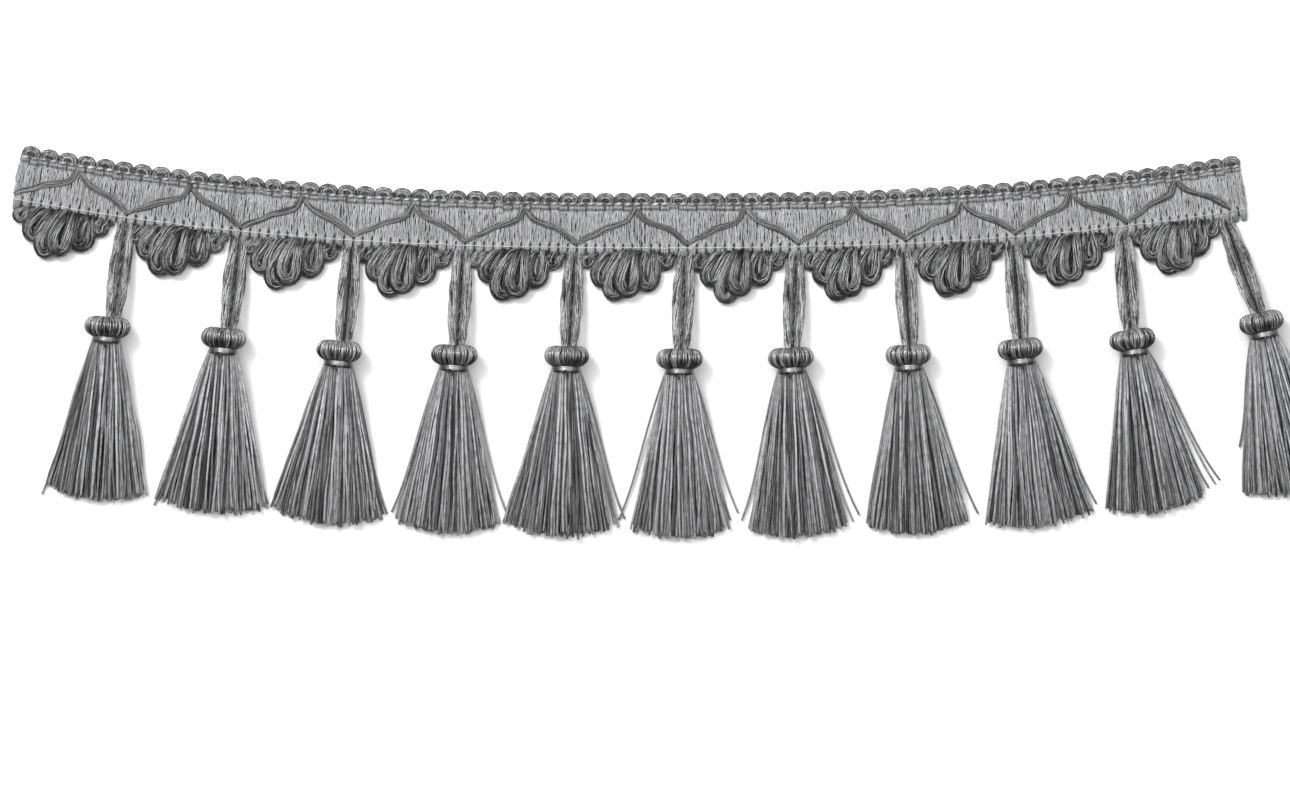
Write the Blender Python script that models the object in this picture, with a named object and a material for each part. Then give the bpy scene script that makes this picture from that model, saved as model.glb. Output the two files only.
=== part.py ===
"""A cut length of tassel fringe, lying face up on a flat surface.

The heading is a woven band with a picot top edge. Its weft runs on below the lower edge as groups
of small loops and, between the groups, as long hangers. A tassel with a bound neck hangs on each
hanger, and a laid cord zigzags over the heading.

The origin is on the flat back of the heading, at the lowest point of its sag. +X runs along the
heading, +Y points to the picot edge, and +Z points up, out of the face.
"""

import math

import bmesh
import bpy
from mathutils import Vector

MM = 0.001

# The gap that keeps neighbouring pieces apart.
CLEARANCE = 0.3 * MM

# The sag of the heading's mid-line: how far it rises at a given reach from the lowest point.
SAG = 11.2 * MM
SAG_REACH = 158.6 * MM
SAG_POWER = 2.5

# Heading, measured across from its mid-line.
HALF_HEADING = 7.0 * MM
NOTCH_DEPTH = 1.2 * MM
CREST_THICKNESS = 0.9 * MM
PICOT_INSET = 1.3 * MM
PICOT_THICKNESS = 2.0 * MM
NOTCH_THICKNESS = 1.3 * MM
FIELD_TOP = 3.0 * MM
FIELD_THICKNESS = 1.4 * MM
PICOTS_PER_REPEAT = 6
# Where the columns of one picot stand: its notch and its two shoulders.
PICOT_COLUMNS = (0.0, 0.28, 0.72)

# Laid cord: the zigzag runs from a peak under the picots to a valley at the lower edge.
WAVE_PEAK = 2.2 * MM
WAVE_VALLEY = -6.0 * MM
WAVE_WIDTH = 1.2 * MM
WAVE_HEIGHT = 0.7 * MM
# Share of the way from peak to valley, and how far the cord has fallen there. The arm that rises to
# the right stays low for longer.
FALLING_ARM = ((0.0, 0.0), (0.24, 0.31), (0.44, 0.46), (0.75, 0.67), (1.0, 1.0))
RISING_ARM = ((0.06, 0.27), (0.27, 0.46), (0.6, 0.67), (0.87, 0.86))

# Backing strip that the loops and hangers are fused into, under the heading's lower edge.
STRIP_TOP = HALF_HEADING + CLEARANCE
STRIP_DEPTH = 1.3 * MM
STRIP_THICKNESS = 1.3 * MM
ROOT_OVERLAP = 0.8 * MM
LOOP_STRIP = (0.068, 0.888)

# The loops of one repeat. Roots and tips are shares of the repeat, sizes are in millimetres.
LOOP_COLUMNS = ("left_root", "right_root", "tip", "depth", "width", "strand", "lift")
LOOP_ROWS = (
    (0.110, 0.170, 0.130, 4.9, 3.2, 1.2, 0.0),
    (0.275, 0.345, 0.225, 9.4, 4.9, 1.7, 0.0),
    (0.425, 0.520, 0.385, 13.3, 9.4, 2.4, 2.0),
    (0.600, 0.680, 0.630, 9.4, 6.2, 1.7, 0.0),
    (0.775, 0.845, 0.803, 4.9, 4.1, 1.3, 0.0),
)
LOOP_TURN = (205, 250, 290, 335)

# Tassels, left to right: where the hanger leaves the heading, where the head's centre lies, the
# lean of the skirt in degrees and half the skirt's width at its tips. Lengths in millimetres.
TASSEL_COLUMNS = ("station", "head_x", "head_y", "lean", "spread")
TASSEL_ROWS = (
    (-137.7, -143.3, -27.1, -4.2, 12.9),
    (-108.3, -113.1, -30.0, -4.7, 13.9),
    (-79.3, -83.2, -33.3, -4.6, 14.4),
    (-50.4, -53.7, -34.4, -2.3, 13.8),
    (-21.5, -24.3, -34.7, -1.2, 14.2),
    (7.2, 5.0, -35.4, 0.3, 13.2),
    (36.0, 34.0, -35.1, 2.7, 13.5),
    (63.7, 64.4, -34.4, 2.9, 13.0),
    (92.0, 93.4, -32.8, 6.2, 14.0),
    (120.7, 122.6, -30.4, 8.5, 13.4),
    (147.1, 156.0, -25.9, 12.0, 13.2),
)
FIRST_STATION = -167.0 * MM

# Hanger
HANGER_OFFSET = -0.65 * MM
TAB_WIDTH = 4.4 * MM
LEG_STEPS = (0.0, 0.1, 0.35, 0.65, 1.0)
LEG_SPACING = (1.2 * MM, 1.3 * MM, 1.75 * MM, 1.5 * MM, 0.95 * MM)
LEG_WIDTH = (1.8 * MM, 1.8 * MM, 2.2 * MM, 2.1 * MM, 1.7 * MM)
LEG_HEIGHT = 1.7 * MM
PLUG_WIDTH = 3.5 * MM
PLUG_DEPTH = 1.6 * MM
PLUG_HEIGHT = 2.8 * MM

# Tassel head, as a turned profile: distance down the axis and radius.
HEAD_RADIUS = 5.7 * MM
HEAD_CENTRE = 2.65 * MM
HEAD_PROFILE = ((0.0, 2.5), (0.9, 4.9), (2.65, 5.7), (4.3, 4.9))
LOBE_DEPTH = 0.5 * MM
NECK_RADIUS = 3.1 * MM
NECK_TOP = 5.2 * MM
NECK_BOTTOM = 7.5 * MM

# Skirt: two layers of locks in six columns, which fan out from the neck's lower face.
SKIRT_LENGTH = 41.6 * MM
SKIRT_COLUMNS = 6
SKIRT_ON_FLOOR = 0.45
SKIRT_STAGES = (SKIRT_ON_FLOOR, 1.0)
SKIRT_MIDDLE_HEIGHT = 4.8 * MM
SKIRT_SIDE_HEIGHT = 2.6 * MM
LOCK_MARGIN = 0.12
RING_POINTS = 2 * (SKIRT_COLUMNS + 2)

# The head has twice as many points, every other one drawn in between two lobes.
HEAD_POINTS = 2 * RING_POINTS

# Neck binding, three turns of thread: distance down the axis and radius.
BINDING_PROFILE = ((5.35, 3.45), (5.4, 4.0), (7.05, 4.0), (7.1, 3.45))
BINDING_POINTS = 12

GREY = (0.2, 0.2, 0.205)
DARK_GREY = (0.12, 0.12, 0.125)
SHINY_GREY = (0.3, 0.3, 0.31)


def table(columns, rows):
    """The rows as dicts, one for each piece."""
    return [dict(zip(columns, row)) for row in rows]


LOOPS = table(LOOP_COLUMNS, LOOP_ROWS)
TASSELS = table(TASSEL_COLUMNS, TASSEL_ROWS)
STATIONS = [FIRST_STATION] + [row["station"] * MM for row in TASSELS]
REPEATS = list(zip(STATIONS, STATIONS[1:]))
TAIL = (STATIONS[-1] - STATIONS[-2]) / PICOTS_PER_REPEAT


def clear_scene():
    for old in list(bpy.data.objects):
        bpy.data.objects.remove(old)


def yarn_material(name, colour, roughness):
    material = bpy.data.materials.new(name)
    material.use_nodes = True
    shader = material.node_tree.nodes["Principled BSDF"]
    shader.inputs["Base Color"].default_value = (*colour, 1.0)
    shader.inputs["Roughness"].default_value = roughness
    shader.inputs["Metallic"].default_value = 0.0
    return material


def add_object(name, bm, material):
    mesh = bpy.data.meshes.new(name)
    bmesh.ops.recalc_face_normals(bm, faces=bm.faces)
    bm.to_mesh(mesh)
    bm.free()
    piece = bpy.data.objects.new(name, mesh)
    bpy.context.scene.collection.objects.link(piece)
    mesh.materials.append(material)
    return piece


def on_heading(x, across, height):
    """The point at x along the mid-line of the heading, moved across it and lifted."""
    share = abs(x) / SAG_REACH
    rise = SAG * share**SAG_POWER
    slope = math.copysign(SAG_POWER * SAG / SAG_REACH * share ** (SAG_POWER - 1), x)
    angle = math.atan(slope)
    return Vector((x - across * math.sin(angle), rise + across * math.cos(angle), height))


def ring(bm, points):
    return [bm.verts.new(point) for point in points]


def skin(bm, first, second):
    """Joins two rings of as many points with a band of four-sided faces."""
    count = len(first)
    for i in range(count):
        j = (i + 1) % count
        bm.faces.new((first[i], first[j], second[j], second[i]))


def gather(bm, first, second):
    """Joins a ring to one of half as many points."""
    for i, low in enumerate(second):
        after = second[(i + 1) % len(second)]
        left, middle, right = (first[(2 * i + step) % len(first)] for step in (0, 1, 2))
        bm.faces.new((left, middle, low))
        bm.faces.new((middle, right, after, low))


def skin_all(bm, rings):
    for first, second in zip(rings, rings[1:]):
        skin(bm, first, second)


def closed_tube(bm, rings):
    skin_all(bm, rings)
    bm.faces.new(rings[0])
    bm.faces.new(rings[-1])


def strand(bm, path, widths, heights):
    """Adds a four-sided strand whose flat sides lie along the ground, along a list of points."""
    rings = []
    for i, centre in enumerate(path):
        before = path[max(i - 1, 0)]
        after = path[min(i + 1, len(path) - 1)]
        ahead = Vector((after.x - before.x, after.y - before.y, 0.0)).normalized()
        side = Vector((-ahead.y, ahead.x, 0.0)) * widths[i] / 2
        up = Vector((0.0, 0.0, heights[i] / 2))
        rings.append(ring(bm, (centre - side - up, centre + side - up, centre + side + up, centre - side + up)))
    closed_tube(bm, rings)


def fuse(piece, other):
    """Joins the other object's bodies to the piece, and keeps it only as a hidden guide."""
    other.hide_render = True
    other.display_type = "WIRE"
    union = piece.modifiers.new("Fused roots", "BOOLEAN")
    union.operation = "UNION"
    union.solver = "EXACT"
    union.object = other


def heading_section(x, notch):
    """The heading's section at x, which is thinner and shorter at the notch between two picots."""
    crest = HALF_HEADING - (NOTCH_DEPTH if notch else 0.0)
    picot = NOTCH_THICKNESS if notch else PICOT_THICKNESS
    corners = (
        (-HALF_HEADING, 0.0),
        (crest, 0.0),
        (crest, CREST_THICKNESS),
        (HALF_HEADING - NOTCH_DEPTH - PICOT_INSET, picot),
        (FIELD_TOP, FIELD_THICKNESS),
        (-HALF_HEADING, FIELD_THICKNESS),
    )
    return [on_heading(x, across, height) for across, height in corners]


def make_heading(material):
    bm = bmesh.new()
    rings = []
    for start, end in REPEATS + [(STATIONS[-1], STATIONS[-1] + TAIL * PICOTS_PER_REPEAT)]:
        picots = PICOTS_PER_REPEAT if start != STATIONS[-1] else 1
        for picot in range(picots):
            for column in PICOT_COLUMNS:
                x = start + (end - start) * (picot + column) / PICOTS_PER_REPEAT
                rings.append(ring(bm, heading_section(x, column == 0.0)))
    rings.append(ring(bm, heading_section(STATIONS[-1] + TAIL, True)))
    closed_tube(bm, rings)
    return add_object("heading", bm, material)


def wave_across(fall):
    return WAVE_PEAK + (WAVE_VALLEY - WAVE_PEAK) * fall


def make_wave_cord(material):
    height = FIELD_THICKNESS + CLEARANCE + WAVE_HEIGHT / 2
    stops = [(STATIONS[0] + CLEARANCE, 1.0)]
    for start, end in REPEATS:
        half = (end - start) / 2
        stops += [(start + half * (1 - share), fall) for share, fall in reversed(RISING_ARM)]
        stops += [(start + half * (1 + share), fall) for share, fall in FALLING_ARM]
    stops.append((STATIONS[-1] + TAIL - CLEARANCE, RISING_ARM[2][1]))
    path = [on_heading(x, wave_across(fall), height) for x, fall in stops]
    bm = bmesh.new()
    strand(bm, path, [WAVE_WIDTH] * len(path), [WAVE_HEIGHT] * len(path))
    return add_object("wave_cord", bm, material)


def loop_path(loop, start, end):
    """The middle of a loop's strand: down from its left root, round its tip and up again."""
    length = end - start
    strand_width = loop["strand"] * MM
    half_width = (loop["width"] * MM - strand_width) / 2
    lowest = loop["depth"] * MM - strand_width / 2
    drop = min(half_width, lowest - STRIP_DEPTH)
    rest = strand_width / 2
    lifted = rest + loop["lift"] * MM
    root_height = STRIP_THICKNESS / 2

    def point(x, down, height):
        return on_heading(x, -STRIP_TOP - down, height)

    turn = []
    for degrees in LOOP_TURN:
        angle = math.radians(degrees)
        x = start + loop["tip"] * length + half_width * math.cos(angle)
        down = lowest - drop - drop * math.sin(angle)
        upper = degrees in (LOOP_TURN[0], LOOP_TURN[-1])
        turn.append(point(x, down, lifted if upper else rest))
    shoulder = STRIP_DEPTH + 0.25 * (lowest - drop - STRIP_DEPTH)
    legs = []
    for root in (loop["left_root"], loop["right_root"]):
        x = start + root * length
        legs.append([point(x, STRIP_DEPTH - ROOT_OVERLAP, root_height), point(x, shoulder, lifted)])
    left, right = legs
    return left + turn + right[::-1]


def make_loop_row(number, start, end, material):
    length = end - start
    left, right = (start + share * length for share in LOOP_STRIP)
    steps = 4
    bm = bmesh.new()
    rings = []
    for i in range(steps + 1):
        x = left + (right - left) * i / steps
        corners = (
            (-STRIP_TOP, 0.0),
            (-STRIP_TOP, STRIP_THICKNESS),
            (-STRIP_TOP - STRIP_DEPTH, STRIP_THICKNESS),
            (-STRIP_TOP - STRIP_DEPTH, 0.0),
        )
        rings.append(ring(bm, [on_heading(x, across, height) for across, height in corners]))
    closed_tube(bm, rings)
    strip = add_object(f"loops_{number:02d}", bm, material)
    bm = bmesh.new()
    for loop in LOOPS:
        path = loop_path(loop, start, end)
        widths = [min(loop["strand"], 1.5) * MM] + [loop["strand"] * MM] * (len(path) - 2)
        widths.append(widths[0])
        heights = [STRIP_THICKNESS - 2 * CLEARANCE] + widths[1:-1] + [STRIP_THICKNESS - 2 * CLEARANCE]
        strand(bm, path, widths, heights)
    fuse(strip, add_object(f"loop_strands_{number:02d}", bm, material))


class TasselFrame:
    """Where one tassel lies: down runs along its axis and side across it, both on the ground."""

    def __init__(self, row):
        lean = math.radians(row["lean"])
        self.down = Vector((math.sin(lean), -math.cos(lean), 0.0))
        self.side = Vector((math.cos(lean), math.sin(lean), 0.0))
        centre = Vector((row["head_x"] * MM, row["head_y"] * MM, HEAD_RADIUS))
        self.top = centre - self.down * HEAD_CENTRE

    def at(self, down, side, up=0.0):
        """The point at a distance down the axis, to its side and above it."""
        return self.top + self.down * down + self.side * side + Vector((0.0, 0.0, up))


def turned_ring(bm, frame, down, radius, points, lobe=0.0):
    """A ring round the tassel's axis. With a lobe, every other point is drawn in."""
    placed = []
    for i in range(points):
        angle = 2 * math.pi * i / points
        reach = radius - lobe * (i % 2)
        placed.append(frame.at(down, reach * math.cos(angle), reach * math.sin(angle)))
    return ring(bm, placed)


def skirt_edge(frame, spread, share, column, layer):
    """A point of the skirt: column runs from 0 to the number of columns and layer from 0 to 2.

    The share is 0 at the neck, where the skirt is round, and 1 at the tips, where it is a low fan.
    """
    angle = math.pi * (1 - (column + 1) / (SKIRT_COLUMNS + 2))
    neck_side = NECK_RADIUS * math.cos(angle)
    neck_half = NECK_RADIUS * math.sin(angle)
    fan = 2 * column / SKIRT_COLUMNS - 1
    swing = math.asin(spread / SKIRT_LENGTH) * fan
    side = neck_side + (SKIRT_LENGTH * math.sin(swing) - neck_side) * share
    down = NECK_BOTTOM + SKIRT_LENGTH * share * math.cos(swing)
    fold = math.sqrt(max(0.0, 1 - fan * fan))
    tip_height = SKIRT_SIDE_HEIGHT + (SKIRT_MIDDLE_HEIGHT - SKIRT_SIDE_HEIGHT) * fold
    low = max(0.0, (HEAD_RADIUS - neck_half) * (1 - share / SKIRT_ON_FLOOR))
    high = (HEAD_RADIUS + neck_half) * (1 - share) + tip_height * share
    height = low + (high - low) * layer / 2
    return frame.at(down, side, height - HEAD_RADIUS)


def add_lock(bm, frame, spread, cell, column, layer):
    """Draws one lock out of its cell of the neck's lower face."""
    near, far = LOCK_MARGIN, 1 - LOCK_MARGIN
    corners = [(column + near, layer + near), (column + far, layer + near)]
    corners += [(column + far, layer + far), (column + near, layer + far)]
    rings = [cell]
    for share in (0.0,) + SKIRT_STAGES:
        # On the floor the lower layer reaches down to it.
        drop = near if layer == 0 and share > 0.0 else 0.0
        placed = [
            skirt_edge(frame, spread, share, a, b - drop if b == layer + near else b) for a, b in corners
        ]
        rings.append(ring(bm, placed))
    skin_all(bm, rings)
    bm.faces.new(rings[-1])


def make_tassel(number, row, material):
    frame = TasselFrame(row)
    bm = bmesh.new()
    crown = turned_ring(bm, frame, 0.0, HEAD_PROFILE[0][1] * MM, HEAD_POINTS)
    bm.faces.new(crown)
    rings = [crown]
    for down, radius in HEAD_PROFILE[1:]:
        rings.append(turned_ring(bm, frame, down * MM, radius * MM, HEAD_POINTS, LOBE_DEPTH))
    skin_all(bm, rings)
    neck = turned_ring(bm, frame, NECK_TOP, NECK_RADIUS, RING_POINTS)
    gather(bm, rings[-1], neck)
    rim = turned_ring(bm, frame, NECK_BOTTOM, NECK_RADIUS, RING_POINTS)
    skin(bm, neck, rim)

    # The neck's lower face is a grid of cells, two layers of six, whose rim is its last ring.
    upper = [rim[SKIRT_COLUMNS + 1 - i] for i in range(SKIRT_COLUMNS + 1)]
    lower = [rim[SKIRT_COLUMNS + 3 + i] for i in range(SKIRT_COLUMNS + 1)]
    inner = [bm.verts.new((a.co + b.co) / 2) for a, b in zip(upper[1:-1], lower[1:-1])]
    middle = [rim[SKIRT_COLUMNS + 2]] + inner + [rim[0]]
    spread = row["spread"] * MM
    for column in range(SKIRT_COLUMNS):
        for layer, (low, high) in enumerate(((lower, middle), (middle, upper))):
            cell = [low[column], low[column + 1], high[column + 1], high[column]]
            add_lock(bm, frame, spread, cell, column, layer)
    return add_object(f"tassel_{number:02d}", bm, material)


def make_binding(number, row, material):
    frame = TasselFrame(row)
    bm = bmesh.new()
    rings = [
        turned_ring(bm, frame, down * MM, radius * MM, BINDING_POINTS) for down, radius in BINDING_PROFILE
    ]
    skin_all(bm, rings + rings[:1])
    return add_object(f"binding_{number:02d}", bm, material)


def make_hanger(number, row, material):
    """Two legs from a tab under the heading to a plug that sits against the head's crown."""
    frame = TasselFrame(row)
    station = row["station"] * MM + HANGER_OFFSET
    tab_ends = [
        on_heading(station - TAB_WIDTH / 2, -STRIP_TOP - STRIP_DEPTH / 2, STRIP_THICKNESS / 2),
        on_heading(station + TAB_WIDTH / 2, -STRIP_TOP - STRIP_DEPTH / 2, STRIP_THICKNESS / 2),
    ]
    plug_ends = [frame.at(-CLEARANCE - PLUG_DEPTH, 0.0), frame.at(-CLEARANCE, 0.0)]
    bm = bmesh.new()
    strand(bm, tab_ends, [STRIP_DEPTH] * 2, [STRIP_THICKNESS] * 2)
    strand(bm, plug_ends, [PLUG_WIDTH] * 2, [PLUG_HEIGHT] * 2)
    hanger = add_object(f"hanger_{number:02d}", bm, material)

    root = on_heading(station, -STRIP_TOP - STRIP_DEPTH + ROOT_OVERLAP, STRIP_THICKNESS / 2)
    tip = frame.at(-CLEARANCE - PLUG_DEPTH / 2, 0.0)
    bm = bmesh.new()
    for sign in (-1, 1):
        path = []
        for share, spacing in zip(LEG_STEPS, LEG_SPACING):
            along = root.lerp(tip, share)
            climb = share * share * (3 - 2 * share)
            along.z = root.z + (tip.z - root.z) * climb
            path.append(along + frame.side * spacing * sign)
        heights = [STRIP_THICKNESS - CLEARANCE, STRIP_THICKNESS, LEG_HEIGHT, LEG_HEIGHT, LEG_HEIGHT]
        strand(bm, path, LEG_WIDTH, heights)
    fuse(hanger, add_object(f"hanger_legs_{number:02d}", bm, material))


def main():
    clear_scene()
    weft = yarn_material("weft yarn", GREY, 0.55)
    laid = yarn_material("laid cord", DARK_GREY, 0.5)
    skirt = yarn_material("skirt yarn", GREY, 0.5)
    thread = yarn_material("binding thread", SHINY_GREY, 0.3)
    make_heading(weft)
    make_wave_cord(laid)
    for number, (start, end) in enumerate(REPEATS, 1):
        make_loop_row(number, start, end, weft)
    for number, row in enumerate(TASSELS, 1):
        make_hanger(number, row, weft)
        make_tassel(number, row, skirt)
        make_binding(number, row, thread)


main()
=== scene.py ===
"""The looks of a length of tassel fringe that lies face up on a pale table.

Every yarn is laid as a path and then made round. Named lengths and those in tables are in millimetres,
unless they are multiplied by MM or the comment over them says metres.
"""

import math
import random

import bmesh
import bpy
import numpy as np
from mathutils import Matrix, Vector

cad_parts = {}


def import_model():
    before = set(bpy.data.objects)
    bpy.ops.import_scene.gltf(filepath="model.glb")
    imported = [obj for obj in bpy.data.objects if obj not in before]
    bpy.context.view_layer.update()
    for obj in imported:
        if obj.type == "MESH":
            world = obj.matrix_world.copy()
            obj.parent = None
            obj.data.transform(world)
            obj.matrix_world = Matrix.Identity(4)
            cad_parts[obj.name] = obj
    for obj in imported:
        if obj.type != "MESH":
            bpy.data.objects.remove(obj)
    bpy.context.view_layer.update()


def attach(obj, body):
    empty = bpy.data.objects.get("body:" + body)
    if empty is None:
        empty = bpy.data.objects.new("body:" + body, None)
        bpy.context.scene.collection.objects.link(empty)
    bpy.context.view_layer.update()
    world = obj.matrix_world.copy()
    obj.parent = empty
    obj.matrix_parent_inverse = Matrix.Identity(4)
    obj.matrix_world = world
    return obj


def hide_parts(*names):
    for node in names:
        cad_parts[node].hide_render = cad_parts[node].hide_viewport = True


MM = 0.001
TURN = 2 * math.pi

# Yarn: the length in which its two plies turn once, how much painted shade darkens it between them, the
# depth of relief and how far the noise of its fibres runs over a metre. The weave of the backing repeats
# at its pitch.
PLY_PITCH = 6.0
PLY_GROOVE = 0.15
RELIEF_DEPTH = 0.1
FIBRE_RATE = 120.0
WEAVE_PITCH = 0.55

# The sag of the heading's mid-line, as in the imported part.
SAG = 11.2 * MM
SAG_REACH = 158.6 * MM
SAG_POWER = 2.5
PICOTS_PER_REPEAT = 6
BARS_PER_REPEAT = 12

# Where the hangers leave the heading, where the heads lie, the lean of the skirt in degrees, half the
# skirt's width at its tips, its length, and how far the hanger lies to the right of its straight line.
TASSEL_COLUMNS = ("station", "head_x", "head_y", "lean", "spread", "length", "aside")
TASSEL_ROWS = (
    (-137.7, -143.3, -27.1, -4.2, 12.6, 40.2, 0.75),
    (-108.3, -113.1, -30.0, -4.7, 13.9, 40.9, 0.5),
    (-79.3, -83.2, -33.3, -4.6, 14.4, 40.6, 0.45),
    (-50.4, -53.4, -34.4, -2.3, 13.5, 41.5, 0.1),
    (-21.5, -24.3, -34.7, -1.2, 14.0, 42.0, 0.1),
    (7.2, 5.0, -35.4, 0.3, 12.4, 41.7, 0.0),
    (36.0, 34.0, -35.1, 2.7, 12.4, 41.9, -0.1),
    (63.7, 64.4, -34.4, 2.9, 12.8, 41.7, 0.0),
    (92.0, 93.4, -32.8, 6.2, 14.0, 41.7, -0.15),
    (120.7, 122.6, -30.4, 8.5, 12.4, 40.5, -0.7),
    (147.1, 156.0, -25.9, 12.0, 13.2, 40.5, -0.7),
)
FIRST_STATION = -167.0

# Single strands that lie apart from their skirt: the tassel and where the strand's end lies.
STRAY_COLUMNS = ("tassel", "x", "y")
STRAY_ROWS = (
    (1, -160.5, -70.5),
    (2, -131.5, -73.4),
    (2, -102.0, -73.0),
    (3, -71.2, -75.6),
    (4, -40.2, -75.0),
    (4, -69.9, -75.2),
    (5, -40.9, -77.8),
    (5, -8.9, -77.0),
    (6, -10.6, -77.2),
    (6, 18.4, -77.2),
    (6, 20.2, -75.4),
    (7, 21.2, -77.4),
    (7, 51.8, -75.9),
    (7, 50.2, -77.6),
    (8, 82.4, -75.6),
    (8, 54.4, -77.0),
    (9, 113.6, -73.0),
    (10, 145.8, -66.8),
    (10, 144.6, -67.9),
    (10, 142.6, -68.9),
    (10, 141.0, -69.6),
    (11, 150.6, -58.2),
)

# Tassel: the head's radius, how far down the axis its middle lies, its lobes and how deep the grooves
# between them are, its outline as distances down the axis and away from it, half the sizes of its core,
# and the neck.
HEAD_RADIUS = 5.7
HEAD_CENTRE = 2.65
HEAD_LOBES = 18
THREADS_PER_LOBE = 6
LOBE_DEPTH = 1.15
HEAD_BOTTOM = 5.1
HEAD_LINE = (
    (0.75, 0.9),
    (0.2, 2.4),
    (0.25, 3.9),
    (0.95, 5.2),
    (2.35, 5.75),
    (3.65, 5.5),
    (4.55, 4.7),
    (HEAD_BOTTOM, 3.6),
)
HEAD_THREAD_RADIUS = 0.21
HEAD_CORE = (5.0, 5.0, 2.3)
NECK_BOTTOM = 7.0
NECK_RADIUS = 3.55

# Skirt: its height at the tips, the share of its length where its underside meets the table, the strands
# of each layer from the lowest, their least and greatest radius, and its clumps of one tone.
SKIRT_MIDDLE_HEIGHT = 4.0
SKIRT_SIDE_HEIGHT = 2.2
SKIRT_ON_FLOOR = 0.45
STRANDS_PER_LAYER = (26, 36, 40, 40)
STRAND_RADII = (0.28, 0.36)
CLUMPS = 12

# Binding: where it begins down the axis, its depth, the tones of its turns from the uppermost, whose
# dark first and last turns are painted shade, its radii outside and inside, the corners of its circle
# and the radius of its knot's thread.
BINDING_TOP = 4.85
BINDING_DEPTH = 2.0
BINDING_TONES_WITH_SHADE = (0.05, 0.75, 1.0, 0.65, 0.05)
BINDING_RADIUS = 3.75
BINDING_INSIDE = 3.1
BINDING_SIDES = 48
KNOT_THREAD_RADIUS = 0.2

# Hanger: half the gap between the middles of its legs at some shares of the way down, the yarns of a leg
# and a leg's least and greatest width.
HANGER_GAPS = ((0.0, 1.2), (0.16, 1.4), (0.4, 1.75), (0.65, 1.7), (0.88, 1.3), (1.0, 1.0))
YARNS_PER_LEG = 12
LEG_WIDTHS = (2.35, 2.55)

# Heading: how far its rows lie from the mid-line, the height of its field, and its backing.
PICOT_SHOULDER = 5.5
PICOT_FOOT = 4.6
BEAD_ROW = 4.85
LOWER_ROW = -6.5
VALLEY = -5.5
PEAK = 3.6
FIELD_TOP = 2.5
FIELD_HEIGHT = 1.15
BACKING_LOW = -8.0
BACKING_HIGH = 5.5
BACKING_THICKNESS = 0.6
BACKING_LIFT = 0.02
BEAD_RADIUS = 0.42

# The weft threads of one bar: where a row lies across the heading, how wide the bar is there and how
# far it is drawn away from its picot's middle, both as a share of its pitch, how far the threads stand
# above the backing and how round the bar is.
WEFT_COLUMNS = ("across", "width", "lean", "height", "crown")
WEFT_ROWS = (
    (5.45, 0.74, 0.08, 0.45, 0.1),
    (5.0, 0.78, 0.08, 0.6, 0.1),
    (4.6, 0.8, 0.07, 0.55, 0.1),
    (4.35, 0.84, 0.05, 1.0, 0.3),
    (3.95, 0.9, 0.05, 1.25, 0.4),
    (3.55, 0.84, 0.03, 1.05, 0.3),
    (3.25, 0.72, 0.01, 0.6, 0.1),
    (2.9, 0.94, 0.0, 1.05, 0.1),
    (2.2, 1.03, 0.0, 1.15, 0.0),
    (0.8, 1.05, 0.0, 1.15, 0.0),
    (-0.9, 1.05, 0.0, 1.15, 0.0),
    (-2.5, 1.05, 0.0, 1.15, 0.0),
    (-4.0, 1.05, 0.0, 1.15, 0.0),
    (-5.1, 0.98, 0.0, 1.15, 0.1),
    (-5.75, 0.7, 0.0, 1.05, 0.3),
    (-6.5, 0.8, 0.0, 1.2, 0.3),
    (-7.1, 0.74, 0.0, 1.2, 0.35),
    (-7.8, 0.66, 0.0, 1.15, 0.35),
    (-8.5, 0.64, 0.0, 0.95, 0.3),
    (-9.3, 0.5, 0.0, 0.5, 0.1),
)
THREADS_PER_BAR = 7
WEFT_RADII = (0.22, 0.27)

# The laid cord in each half of a repeat: the share of that half from the valley, and how far the cord
# lies from the mid-line. Then its filaments, half its width and the radius of a filament.
CORD_RISE = (
    (0.13, -4.2),
    (0.31, -3.2),
    (0.51, -1.6),
    (0.73, -0.6),
    (0.9, 0.5),
    (0.97, 2.0),
    (1.02, PEAK),
)
CORD_FALL = (
    (0.95, PEAK),
    (0.9, 2.7),
    (0.76, 0.7),
    (0.56, -0.6),
    (0.33, -1.9),
    (0.15, -3.7),
    (0.05, -5.0),
)
CORD_FILAMENTS = 5
CORD_HALF_WIDTH = 0.66
FILAMENT_RADIUS = 0.2

# The bundles of one picot, from its rim inwards: half its width, half the width at its feet, its top,
# its height above the table, its thickness, its number of yarns and its darkest and lightest tone.
ARCH_COLUMNS = ("half", "foot", "top", "height", "hank", "yarns", "dark", "light")
ARCH_ROWS = (
    (2.0, 1.6, 7.22, 0.7, 1.1, 5, 0.05, 0.75),
    (1.3, 1.18, 6.5, 1.1, 0.95, 4, 0.3, 1.0),
    (0.66, 0.72, 5.8, 0.7, 0.7, 2, 0.0, 0.15),
)

# The loops of one repeat. The bars that its two legs come from, where its lowest point lies as a
# share of the repeat, its whole width, its depth under the lower row, the thickness of its hank, its
# lift off the table and its number of yarns. All have the same darkest and lightest tone.
LOOP_COLUMNS = ("left_bar", "right_bar", "tip", "width", "depth", "hank", "lift", "yarns")
LOOP_ROWS = (
    (1, 2, 0.095, 3.8, 6.1, 1.9, 0.8, 9),
    (3, 4, 0.212, 6.2, 10.4, 2.9, 1.0, 14),
    (5, 5.6, 0.345, 7.0, 14.1, 3.3, 1.1, 16),
    (5.4, 6, 0.462, 7.4, 13.4, 3.5, 2.3, 17),
    (7, 8, 0.635, 7.6, 10.8, 3.1, 1.0, 14),
    (9, 10, 0.79, 5.1, 6.2, 2.3, 0.8, 10),
)
LOOP_TONES = (0.05, 1.0)
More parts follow.
